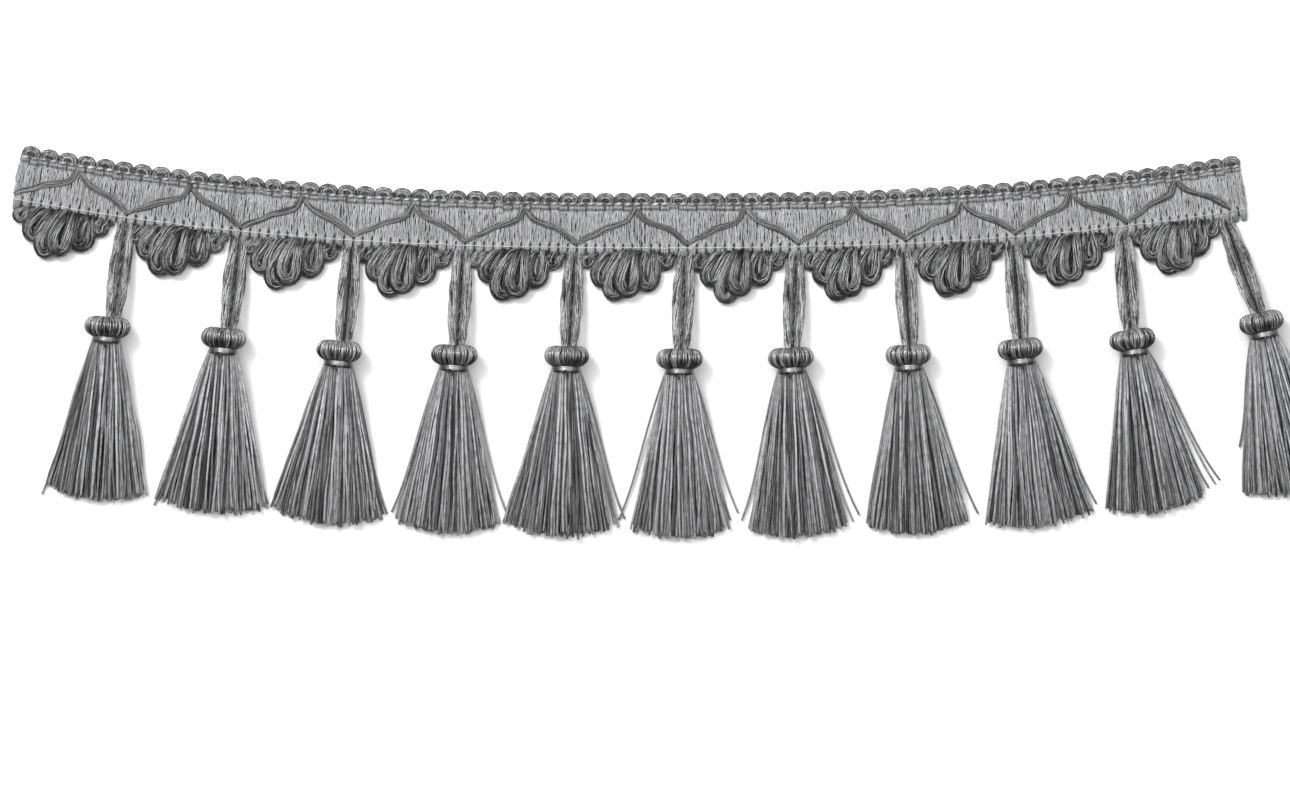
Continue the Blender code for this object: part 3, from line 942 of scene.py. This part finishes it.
def make_head(number, row, finish, core_shade_finish):
    """The puffed head: bundles of thread that run from its middle over its side to the neck."""
    rng = random.Random(300 + number)
    frame = TasselFrame(row)
    node = f"tassel_{number:02d}"
    yarns = Yarns()
    down, radius = np.array(HEAD_LINE).T
    turned = rng.uniform(0.0, TURN)
    for lobe in range(HEAD_LOBES):
        swell = rng.gauss(0.0, 0.15)
        lobe_tone = rng.gauss(0.0, 0.16)
        for thread in range(THREADS_PER_LOBE):
            place = (thread - (THREADS_PER_LOBE - 1) / 2) / THREADS_PER_LOBE
            angle = turned + TURN * (lobe + 0.5 + place * 0.95) / HEAD_LOBES
            angle = angle + rng.gauss(0.0, 0.035) * np.sin(math.pi * down / 5.2)
            drawn_in = LOBE_DEPTH * abs(2 * place) ** 2.2 - swell
            lobed = np.sin(np.clip(down / HEAD_BOTTOM, 0.0, 1.0) * math.pi) ** 0.6
            reach = radius - drawn_in * lobed
            height = np.maximum(HEAD_RADIUS + reach * np.sin(angle), 0.3)
            stops = frame.at(down, reach * np.cos(angle), height)
            # Painted shade: the threads at the edges of each lobe are darker, in the grooves between
            # lobes.
            tone = 0.42 + lobe_tone - 0.45 * abs(2 * place) ** 2.5 + rng.gauss(0.0, 0.15)
            # A painted highlight a little above the middle, and painted shade where the thread turns in
            # to the neck.
            part = np.linspace(0.0, 1.0, 12)
            shine = np.exp(-(((part - rng.gauss(0.5, 0.05)) / 0.13) ** 2))
            tone = tone + 0.5 * shine - 0.3 * part**2
            yarns.lay(smooth_path(stops, len(part)), HEAD_THREAD_RADIUS, tone)
    add_yarns(f"head_{number:02d}", yarns, 4, finish, [node])

    # The thick of the head under its threads, dark as painted shade where it shows between them.
    bm = bmesh.new()
    bmesh.ops.create_uvsphere(bm, u_segments=24, v_segments=12, radius=1.0)
    bmesh.ops.scale(bm, vec=[size * MM for size in HEAD_CORE], verts=bm.verts)
    lean = math.radians(row["lean"])
    for angle, axis in ((math.pi / 2, "X"), (lean, "Z")):
        turn = Matrix.Rotation(angle, 3, axis)
        bmesh.ops.rotate(bm, cent=(0, 0, 0), matrix=turn, verts=bm.verts)
    middle = frame.at(HEAD_CENTRE + 0.1, 0.0, HEAD_RADIUS)
    bmesh.ops.translate(bm, vec=Vector(middle), verts=bm.verts)
    name = f"head_core_{number:02d}"
    add_piece(name, mesh_from(bm, name, smooth=True), core_shade_finish, [node])


def band_mesh(name, rings):
    """A closed band from the points of its section at each place round its circle."""
    sides, count = rings.shape[:2]
    bm = bmesh.new()
    verts = [bm.verts.new(point) for point in rings.reshape(-1, 3).tolist()]
    for side in range(sides):
        here = side * count
        beyond = (side + 1) % sides * count
        for point in range(count):
            after = (point + 1) % count
            corners = (here + point, here + after, beyond + after, beyond + point)
            bm.faces.new([verts[corner] for corner in corners])
    bmesh.ops.recalc_face_normals(bm, faces=bm.faces)
    return mesh_from(bm, name, smooth=True)


def make_binding(number, row, finish):
    """Close turns of shiny thread drawn flat round the neck, as one ridged band."""
    rng = random.Random(400 + number)
    frame = TasselFrame(row)
    node = f"binding_{number:02d}"
    turns = len(BINDING_TONES_WITH_SHADE)
    # The section runs down over the turns and back up on the inside.
    share = np.linspace(0.0, 1.0, 4 * turns + 1)
    ridge = np.abs(np.sin(math.pi * turns * share)) ** 0.6
    outside = BINDING_RADIUS - 0.1 + 0.1 * ridge - 0.12 * (2 * share - 1) ** 6
    bottom = BINDING_TOP + BINDING_DEPTH
    down = np.concatenate((BINDING_TOP + BINDING_DEPTH * share, (bottom, BINDING_TOP)))
    reach = np.concatenate((outside, (BINDING_INSIDE, BINDING_INSIDE)))
    start = rng.uniform(0.0, TURN)
    angle = (TURN * np.arange(BINDING_SIDES) / BINDING_SIDES)[:, None]
    down = down + 0.08 * np.sin(angle + start) + 0.04 * np.sin(2 * angle)
    reach = reach + 0.05 * np.sin(2 * angle + start)
    rings = frame.at(down, reach * np.cos(angle), HEAD_RADIUS + reach * np.sin(angle))
    mesh = band_mesh(node, rings)

    # The same facts that yarns carry. The band's tone is a painted highlight, brightest on top, with
    # painted shade at its sides.
    count = rings.shape[1]
    thread = np.minimum((share * turns).astype(int), turns - 1)
    thread = np.concatenate((thread, (0, 0)))
    # The first and last turns are dark, as painted shade.
    tones = np.array(BINDING_TONES_WITH_SHADE)[thread]
    facts = {
        "tone": (tones * (0.1 + 0.9 * np.sin(angle) ** 6)).ravel(),
        "seed": np.tile(thread * 0.27 + 0.1, BINDING_SIDES),
        "along": np.repeat(np.abs(angle[:, 0] - math.pi) * BINDING_RADIUS * MM, count),
        "share": np.full(BINDING_SIDES * count, 0.5),
    }
    store_facts(mesh, facts)
    phase = np.concatenate((share, (0.0, 0.0))) * turns * math.pi
    around = np.stack((np.cos(phase), np.sin(phase), np.zeros(count)), axis=1)
    layer = mesh.attributes.new("round", "FLOAT_VECTOR", "POINT")
    layer.data.foreach_set("vector", np.tile(around, (BINDING_SIDES, 1)).ravel().astype(np.float32))
    add_piece(f"{node}_thread", mesh, finish, [node])
    add_knot(node, frame, finish, rng)


def add_knot(node, frame, finish, rng):
    """The knot of the binding's thread, just below its turns, and the thread's short end."""
    yarns = Yarns()
    place = rng.uniform(-1.4, -0.2)
    top = HEAD_RADIUS + BINDING_RADIUS
    ring = []
    for angle in np.linspace(0.4, 5.6, 9):
        ring.append((6.75 + 0.35 * math.sin(angle), place + 0.75 * math.cos(angle), top + 0.05))
    tail = [
        (6.85, place + 0.3, top + 0.1),
        (7.4, place + 0.7, top - 0.1),
        (8.0, place + 0.75, top - 0.3),
    ]
    for stops in (ring, tail):
        down, side, height = np.array(stops).T
        yarns.lay(smooth_path(frame.at(down, side, height), 12), KNOT_THREAD_RADIUS, 0.05)
    add_yarns(f"{node}_knot", yarns, 5, finish, [node])


def strand_path(frame, row, fan, layer, tip_fan, reach, sway, thick):
    """One strand of the skirt, from the neck to its cut end on or over the table.

    The fan says where it leaves the neck and the tip fan where it ends, both from -1 on the left to 1 on
    the right. The layer is 0 at the bottom and 1 at the top. The reach is a share of the skirt's length.
    The sway is a slow bend and a quicker wave.
    """
    bend, bend_turns, phase, wave, wave_turns = sway
    share = np.linspace(0.0, 1.0, 14)
    neck_side = NECK_RADIUS * math.sin(fan * math.pi / 2) * 0.97
    neck_half = math.sqrt(max(NECK_RADIUS**2 - neck_side**2, 0.0))
    length = row["length"] * reach
    swing = math.asin(row["spread"] / row["length"]) * tip_fan
    across = length * math.sin(swing)
    down = NECK_BOTTOM - 1.2 + (length * math.cos(swing) + 1.2) * share
    side = neck_side + (across - neck_side) * share**0.95
    side = side + bend * np.sin(TURN * (share * bend_turns + phase)) * share
    side = side + wave * np.sin(TURN * (share * wave_turns + phase)) * np.minimum(share * 4, 1.0)
    fold = math.sqrt(max(0.0, 1.0 - min(abs(tip_fan), 1.0) ** 2))
    tip_height = SKIRT_SIDE_HEIGHT + (SKIRT_MIDDLE_HEIGHT - SKIRT_SIDE_HEIGHT) * fold
    low = np.maximum(0.0, (HEAD_RADIUS - neck_half) * (1 - share / SKIRT_ON_FLOOR))
    high = (HEAD_RADIUS + neck_half) * (1 - share) + tip_height * share
    height = low + thick + 0.05 + (high - low - 2 * thick) * layer
    return frame.at(down, side, np.maximum(height, thick + 0.05))


def make_skirt(number, row, finish):
    """The cut strands under the neck, in layers, and those that lie apart from them."""
    rng = random.Random(500 + number)
    frame = TasselFrame(row)
    yarns = Yarns()
    layers = len(STRANDS_PER_LAYER)
    clumps = [rng.uniform(-1.0, 1.0) for _ in range(CLUMPS)]
    for layer, count in enumerate(STRANDS_PER_LAYER):
        for strand in range(count):
            fan = -1 + 2 * (strand + 0.5 + rng.uniform(-0.3, 0.3)) / count
            tip_fan = fan + rng.gauss(0.0, 0.085)
            tip_fan = min(max(tip_fan, -1.03), 1.03)
            thick = rng.uniform(*STRAND_RADII)
            height = min(max((layer + 0.5 + rng.gauss(0.0, 0.3)) / layers, 0.0), 1.0)
            reach = 1.0 + rng.gauss(0.0, 0.012) - 0.012 * abs(tip_fan)
            bend = (rng.gauss(0.0, 0.35), rng.uniform(0.4, 1.3))
            phase = rng.random()
            wave = (rng.uniform(0.05, 0.16), rng.uniform(1.6, 2.8))
            sway = (*bend, phase, *wave)
            path = strand_path(frame, row, fan, height, tip_fan, reach, sway, thick)
            # Thinner where it leaves the neck, and its tone stands out more from there on.
            swell = np.clip(0.68 + np.linspace(0.0, 1.0, len(path)) * 1.6, 0.0, 1.0)
            clump = clumps[int((fan + 1) * 5.9) % CLUMPS] * 0.1
            tone = clump + (0.2 if strand % 2 else -0.2) + rng.gauss(0.0, 0.22)
            below = np.clip(np.linspace(0.35, 3.0, len(path)), 0.0, 1.0)
            yarns.lay(path, thick * swell, 0.5 + tone * below)
    lay_strays(yarns, number, row, frame, rng)
    add_yarns(f"skirt_{number:02d}", yarns, 5, finish, [f"tassel_{number:02d}"])


def lay_strays(yarns, number, row, frame, rng):
    """The strands that lie apart from a skirt. They leave it in a slight curve."""
    for stray in STRAYS:
        if stray["tassel"] != number:
            continue
        down, side = frame.find(stray["x"], stray["y"])
        away = math.hypot(down - NECK_BOTTOM, side)
        tip_fan = math.atan2(side, down - NECK_BOTTOM) / math.asin(row["spread"] / row["length"])
        thick = STRAND_RADII[0]
        sway = (rng.gauss(0.0, 0.2), 0.5, rng.random(), 0.0, 1.0)
        fan = min(max(tip_fan, -0.96), 0.96)
        path = strand_path(frame, row, fan, 0.25, tip_fan, away / row["length"], sway, thick)
        share = np.linspace(0.0, 1.0, len(path))
        bow = 0.12 * np.sin(math.pi * share)[:, None]
        inward = np.array((*frame.side, 0.0)) * -side * MM
        path = path + inward * bow * (share**2)[:, None]
        yarns.lay(path, thick, rng.uniform(0.25, 0.6))


# Table, lights and camera


def make_table(finish):
    bm = bmesh.new()
    bmesh.ops.create_grid(bm, x_segments=1, y_segments=1, size=TABLE_HALF)
    mesh = mesh_from(bm, "table_top")
    mesh.materials.append(finish)
    top = bpy.data.objects.new("table_top", mesh)
    bpy.context.scene.collection.objects.link(top)


def add_light(row):
    """A round soft light that shines on the trim."""
    light = bpy.data.lights.new(row["name"], "AREA")
    light.shape = "DISK"
    light.size = row["size"]
    light.energy = row["power"]
    lamp = bpy.data.objects.new(row["name"], light)
    lamp.location = row["place"]
    towards = Vector(LIT_PLACE) - Vector(row["place"])
    lamp.rotation_euler = towards.to_track_quat("-Z", "Y").to_euler()
    bpy.context.scene.collection.objects.link(lamp)


def light_studio():
    world = bpy.data.worlds.new("studio")
    world.use_nodes = True
    background = world.node_tree.nodes["Background"]
    background.inputs["Color"].default_value = (1.0, 1.0, 1.0, 1.0)
    background.inputs["Strength"].default_value = WORLD_STRENGTH
    bpy.context.scene.world = world
    for row in LIGHTS:
        add_light(row)
    bpy.context.scene.view_settings.view_transform = "Standard"


def set_camera():
    """Straight above the trim, with the long side of the view along the heading."""
    camera = bpy.data.cameras.new("camera")
    camera.sensor_width = SENSOR_WIDTH
    camera.lens = SENSOR_WIDTH * CAMERA_PLACE[2] / VIEW_WIDTH
    camera.clip_end = 10.0
    seen = bpy.data.objects.new("camera", camera)
    seen.location = CAMERA_PLACE
    bpy.context.scene.collection.objects.link(seen)
    bpy.context.scene.camera = seen


def main():
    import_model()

    weft = yarn_finish("weft yarn", grey(0.065), grey(0.335), 0.38, blotch=0.5, flecks=900.0)
    warp = yarn_finish("bright warp yarn", grey(0.08), grey(0.42), 0.3)
    picot = yarn_finish("picot yarn", grey(0.008), grey(0.235), 0.3, blotch=0.6, flecks=600.0)
    loop = yarn_finish("loop yarn", grey(0.003), grey(0.16), 0.28, blotch=0.8, flecks=500.0, dull=0.6)
    cord = yarn_finish("laid cord yarn", grey(0.01), grey(0.14), 0.38)
    hanging = yarn_finish(
        "hanger cord", grey(0.007), grey(0.265), 0.32, blotch=0.7, flecks=900.0, dull=0.4
    )
    # The skirt yarn gets more painted shade towards its tips.
    skirt = yarn_finish("skirt yarn", grey(0.008), grey(0.37), 0.28, flecks=600.0, far_end_shade=0.55)
    head = yarn_finish("head yarn", grey(0.004), grey(0.245), 0.17, blotch=0.6, specular=1.1, dull=0.4)
    binding = yarn_finish(
        "binding thread", grey(0.003), grey(0.19), 0.11, specular=1.0, dull=0.25, relief=0.2
    )
    backing = backing_and_shade_finish("backing cloth and painted shade", grey(0.025), grey(0.08))

    make_backing(backing)
    make_field(weft)
    make_beads(warp)
    make_picots(picot)
    make_laid_cord(cord)
    for number, (start, end) in enumerate(REPEATS, 1):
        make_loops(number, start, end, loop)
    for number, row in enumerate(TASSELS, 1):
        make_hanger(number, row, hanging)
        make_head(number, row, head, backing)
        make_binding(number, row, binding)
        make_skirt(number, row, skirt)

    make_table(table_finish())
    light_studio()
    set_camera()


main()
